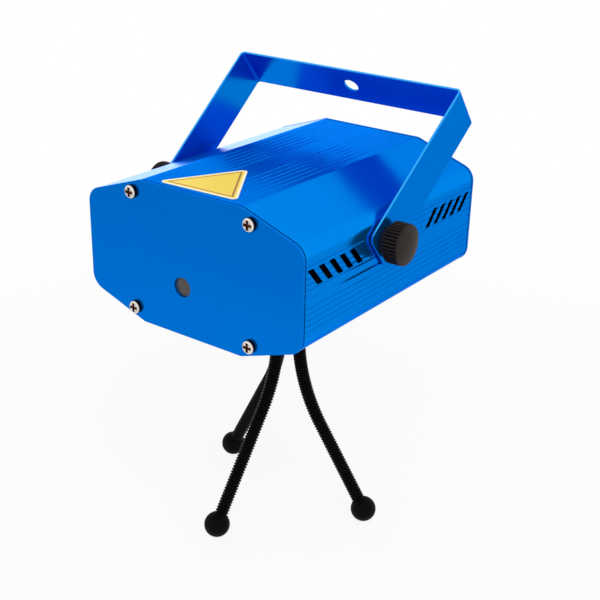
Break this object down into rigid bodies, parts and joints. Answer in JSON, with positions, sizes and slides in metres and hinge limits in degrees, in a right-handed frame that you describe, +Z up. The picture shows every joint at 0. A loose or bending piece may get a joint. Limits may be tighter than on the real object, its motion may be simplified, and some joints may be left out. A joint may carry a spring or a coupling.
{
  "type": "laser show projector",
  "caption": "Small laser show projector: blue anodised case with side vents, tilting yoke clamped by thumb knobs, on a tripod with ribbed gooseneck legs.",
  "frame": {"origin": "on the ground, below the middle of the whole object's box", "axes": "+Z up, -Y the way the aperture faces, +X to the right seen from the front"},
  "size_m": [0.1122, 0.1204, 0.1666],
  "materials": {
    "blue_anodised": "satin anodised, blue",
    "screw_nickel": "bright nickel plate",
    "knob_black": "moulded phenolic, dark brown-black",
    "black_plastic": "moulded, satin black",
    "leg_black": "ribbed vinyl sleeve, satin black",
    "black_rubber": "moulded rubber",
    "steel": "zinc plated",
    "brass": "turned brass",
    "dark_glass": "tinted glass",
    "clear_glass": "polished glass",
    "label_film": "printed film, plain yellow with a brown border",
    "board_green": "glass-epoxy board",
    "raw_aluminium": "milled",
    "gear_white": "moulded acetal"
  },
  "bodies": {
    "housing": {"upper_shell": "blue_anodised", "lower_shell": "blue_anodised", "front_plate": "blue_anodised", "rear_plate": "blue_anodised", "front_plate_screws": "screw_nickel", "rear_plate_screws": "screw_nickel", "fan_screws": "screw_nickel", "tray_screws": "screw_nickel", "board_screws": "screw_nickel", "aperture_glass": "dark_glass", "glass_retainer": "black_plastic", "top_label": "label_film", "side_inserts": "steel", "tripod_insert": "brass", "chassis_tray": "raw_aluminium", "green_laser": "brass", "green_laser_block": "raw_aluminium", "red_laser": "brass", "red_laser_block": "raw_aluminium", "combiner_glass": "clear_glass", "combiner_holder": "raw_aluminium", "grating_bracket": "black_plastic", "grating_motor": "steel", "circuit_board": "board_green", "board_components": "black_plastic", "board_standoffs": "brass", "fan_frame": "black_plastic", "power_socket": "black_plastic", "power_socket_nut": "screw_nickel", "mode_switch": "steel", "speed_control": "steel", "speed_control_nut": "screw_nickel", "microphone": "steel"},
    "yoke": {"yoke": "blue_anodised"},
    "right_spacer": {"right_spacer": "black_plastic"},
    "right_knob": {"right_knob": "knob_black", "right_stud": "steel"},
    "left_spacer": {"left_spacer": "black_plastic"},
    "left_knob": {"left_knob": "knob_black", "left_stud": "steel"},
    "tripod": {"tripod_stud": "steel", "tripod_pad": "black_rubber", "tripod_head": "black_plastic"},
    "fan_rotor": {"fan_rotor": "black_plastic"},
    "grating": {"grating_gear": "gear_white", "grating_disc": "clear_glass"},
    "pinion": {"motor_pinion": "brass"},
    "mode_lever": {"mode_lever": "black_plastic"},
    "speed_knob": {"speed_shaft": "steel", "speed_knob": "black_plastic"},
    "leg_1": {"leg_1_sleeve": "leg_black", "leg_1_core": "steel", "leg_1_foot": "black_rubber"},
    "leg_2": {"leg_2_sleeve": "leg_black", "leg_2_core": "steel", "leg_2_foot": "black_rubber"},
    "leg_3": {"leg_3_sleeve": "leg_black", "leg_3_core": "steel", "leg_3_foot": "black_rubber"}
  },
  "joints": [
    {"name": "yoke_tilt", "type": "hinge", "parent": "housing", "child": "yoke", "pos_m": [0, -0.01345, 0.123], "axis": [1, 0, 0], "range_deg": [-11, 165]},
    {"name": "right_knob_travel", "type": "slide", "parent": "housing", "child": "right_spacer", "axis": [1, 0, 0], "range_m": [0, 0.0007]},
    {"name": "right_knob_turn", "type": "hinge", "parent": "right_spacer", "child": "right_knob", "pos_m": [0.0496, -0.01345, 0.123], "axis": [1, 0, 0], "range_deg": [0, 362]},
    {"name": "left_knob_travel", "type": "slide", "parent": "housing", "child": "left_spacer", "axis": [-1, 0, 0], "range_m": [0, 0.0007]},
    {"name": "left_knob_turn", "type": "hinge", "parent": "left_spacer", "child": "left_knob", "pos_m": [-0.0496, -0.01345, 0.123], "axis": [-1, 0, 0], "range_deg": [0, 362]},
    {"name": "tripod_turn", "type": "hinge", "parent": "housing", "child": "tripod", "pos_m": [0, -0.00545, 0.0879], "axis": [0, 0, 1], "range_deg": [-180, 180]},
    {"name": "leg_1_bend", "type": "hinge", "parent": "tripod", "child": "leg_1", "pos_m": [-0.00009, -0.01045, 0.0717], "axis": [-0.9972, 0.075, 0], "range_deg": [-12, 40], "deforming": ["leg_1_sleeve", "leg_1_core"]},
    {"name": "leg_2_bend", "type": "hinge", "parent": "tripod", "child": "leg_2", "pos_m": [0.00437, -0.00303, 0.0717], "axis": [0.0837, -0.9965, 0], "range_deg": [-12, 40], "deforming": ["leg_2_sleeve", "leg_2_core"]},
    {"name": "leg_3_bend", "type": "hinge", "parent": "tripod", "child": "leg_3", "pos_m": [-0.00429, -0.00287, 0.0717], "axis": [0.2756, 0.9613, 0], "range_deg": [-12, 40], "deforming": ["leg_3_sleeve", "leg_3_core"]},
    {"name": "fan_spin", "type": "hinge", "parent": "housing", "child": "fan_rotor", "pos_m": [-0.02001, 0.04185, 0.1151], "axis": [0, 1, 0], "continuous": true},
    {"name": "grating_spin", "type": "hinge", "parent": "housing", "child": "grating", "pos_m": [-0.0036, -0.05315, 0.1071], "axis": [0, 1, 0], "continuous": true},
    {"name": "pinion_spin", "type": "hinge", "parent": "housing", "child": "pinion", "pos_m": [0.0039, -0.05315, 0.12009], "axis": [0, 1, 0], "continuous": true},
    {"name": "mode_slide", "type": "slide", "parent": "housing", "child": "mode_lever", "axis": [1, 0, 0], "range_m": [-0.002, 0.002]},
    {"name": "speed_turn", "type": "hinge", "parent": "housing", "child": "speed_knob", "pos_m": [0.01288, 0.04775, 0.1241], "axis": [0, 1, 0], "range_deg": [-140, 140]}
  ],
  "couplings": [
    {"joint": "pinion_spin", "follows": "grating_spin", "ratio": -4},
    {"joint": "right_knob_turn", "follows": "right_knob_travel", "rad_per_m": 8976},
    {"joint": "left_knob_turn", "follows": "left_knob_travel", "rad_per_m": 8976}
  ]
}
